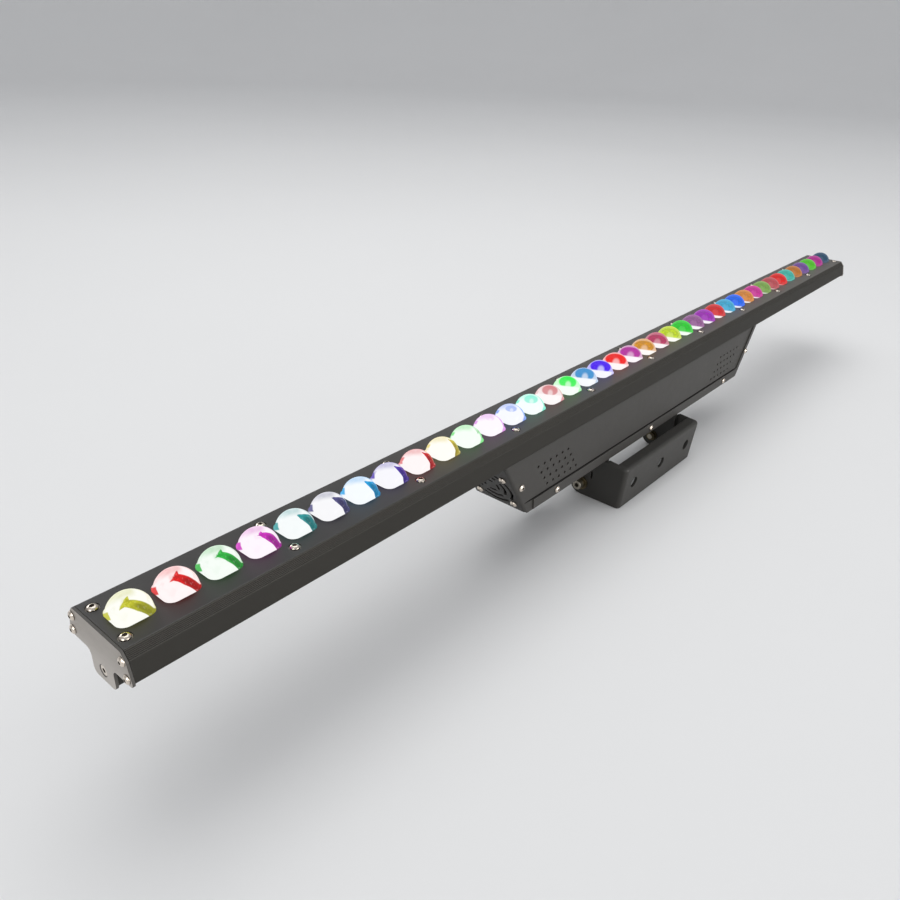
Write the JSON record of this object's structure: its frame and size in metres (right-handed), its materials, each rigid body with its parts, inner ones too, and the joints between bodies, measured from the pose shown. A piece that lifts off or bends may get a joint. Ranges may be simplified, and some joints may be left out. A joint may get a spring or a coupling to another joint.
{
  "type": "led strip batten",
  "caption": "Slim pixel light bar: a long ribbed extrusion with a row of domed colour lenses, a fan-cooled driver housing below and a tilting hanging yoke.",
  "frame": {"origin": "centre of the yoke's middle hanging hole, on the outer face of the yoke's web", "axes": "+X along the bar towards the end with the data sockets, +Y from the yoke's web towards the rear panel, +Z the way the lenses face"},
  "size_m": [1.013, 0.0717, 0.1258],
  "materials": {
    "black_anodised": "fine satin black anodising",
    "plate_black": "satin black powder coat",
    "housing_paint": "fine textured black powder coat",
    "end_plate_grey": "pale grey anodised sheet",
    "yoke_paint": "fine textured black powder coat",
    "stainless": "bright stainless steel",
    "zinc_yellow": "yellow-passivated zinc plating",
    "dark_steel": "black-oxide steel",
    "lens_clear": "clear moulded acrylic",
    "gasket_rubber": "matt black silicone",
    "foam": "closed-cell foam",
    "holder_plastic": "black moulded plastic",
    "board_white": "white solder mask on aluminium",
    "board_green": "green solder mask",
    "emitter": "silicone-domed emitter",
    "thermal": "soft thermal pad",
    "jumper": "white jumper plug and lead",
    "fan_plastic": "black glass-filled plastic",
    "transformer": "yellow-taped transformer",
    "capacitor": "sleeved aluminium can",
    "inductor": "ferrite block",
    "terminal": "green plug-in terminal",
    "brass_standoff": "plain brass",
    "cable_black": "black sheath",
    "panel_black": "black moulded bezel",
    "window": "smoked acrylic",
    "display": "dark liquid-crystal module",
    "button_plastic": "dark grey button cap",
    "socket_blue": "blue moulded inlet",
    "socket_grey": "pale grey moulded outlet",
    "socket_black": "black moulded socket",
    "latch_metal": "plain steel",
    "galvanised": "plain zinc-plated sheet",
    "friction": "fibre friction washer",
    "nylon": "natural nylon"
  },
  "bodies": {
    "yoke": {"yoke": "yoke_paint", "yoke_bushes": "nylon"},
    "head": {"extrusion_body": "black_anodised", "top_plate": "plate_black", "plate_gasket": "gasket_rubber", "plate_screws": "stainless", "plate_washers": "stainless", "lenses": "lens_clear", "lens_holders": "holder_plastic", "led_boards": "board_white", "led_emitters": "emitter", "thermal_pads": "thermal", "board_jumpers": "jumper", "end_plate_left": "end_plate_grey", "end_plate_right": "end_plate_grey", "end_gaskets": "gasket_rubber", "end_screws": "stainless", "boss_screws": "stainless", "housing_shell": "housing_paint", "housing_cover": "housing_paint", "housing_gasket": "foam", "housing_mount_screws": "stainless", "cover_screws": "stainless", "fan_frame_left": "fan_plastic", "fan_frame_right": "fan_plastic", "fan_screws": "stainless", "psu_board": "board_green", "driver_board": "board_green", "board_standoffs": "brass_standoff", "small_screws": "dark_steel", "psu_transformer": "transformer", "psu_capacitors": "capacitor", "driver_inductors": "inductor", "driver_terminals": "terminal", "feed_cables": "cable_black", "floor_grommets": "gasket_rubber", "control_panel": "panel_black", "display_window": "window", "control_board": "board_green", "display_module": "display", "power_in": "socket_blue", "power_out": "socket_grey", "data_in": "socket_black", "data_out": "socket_black", "pivot_bracket": "yoke_paint", "backing_plate": "galvanised", "floor_screws": "stainless", "safety_lug": "yoke_paint", "lug_nuts": "galvanised", "pivot_bolts": "dark_steel", "pivot_washers": "zinc_yellow", "pivot_nuts": "zinc_yellow", "friction_discs": "friction"},
    "fan_rotor_left": {"fan_rotor_left": "fan_plastic"},
    "fan_rotor_right": {"fan_rotor_right": "fan_plastic"},
    "button_menu": {"button_menu": "button_plastic"},
    "button_up": {"button_up": "button_plastic"},
    "button_down": {"button_down": "button_plastic"},
    "button_enter": {"button_enter": "button_plastic"},
    "data_out_latch": {"data_out_latch": "latch_metal"}
  },
  "joints": [
    {"name": "tilt", "type": "hinge", "parent": "yoke", "child": "head", "pos_m": [0, 0.0412, -0.009], "axis": [-1, 0, 0], "range_deg": [0, 200]},
    {"name": "fan_left_spin", "type": "hinge", "parent": "head", "child": "fan_rotor_left", "pos_m": [-0.20477, 0.0412, 0.04571], "axis": [-0.8489, 0, -0.5285], "continuous": true},
    {"name": "fan_right_spin", "type": "hinge", "parent": "head", "child": "fan_rotor_right", "pos_m": [0.20477, 0.0412, 0.04571], "axis": [0.8489, 0, -0.5285], "continuous": true},
    {"name": "menu_press", "type": "slide", "parent": "head", "child": "button_menu", "axis": [0, -1, 0], "range_m": [0, 0.0008], "stiffness_N_per_m": 400},
    {"name": "up_press", "type": "slide", "parent": "head", "child": "button_up", "axis": [0, -1, 0], "range_m": [0, 0.0008], "stiffness_N_per_m": 400},
    {"name": "down_press", "type": "slide", "parent": "head", "child": "button_down", "axis": [0, -1, 0], "range_m": [0, 0.0008], "stiffness_N_per_m": 400},
    {"name": "enter_press", "type": "slide", "parent": "head", "child": "button_enter", "axis": [0, -1, 0], "range_m": [0, 0.0008], "stiffness_N_per_m": 400},
    {"name": "latch_press", "type": "slide", "parent": "head", "child": "data_out_latch", "axis": [0, -1, 0], "range_m": [0, 0.0012], "stiffness_N_per_m": 400}
  ]
}
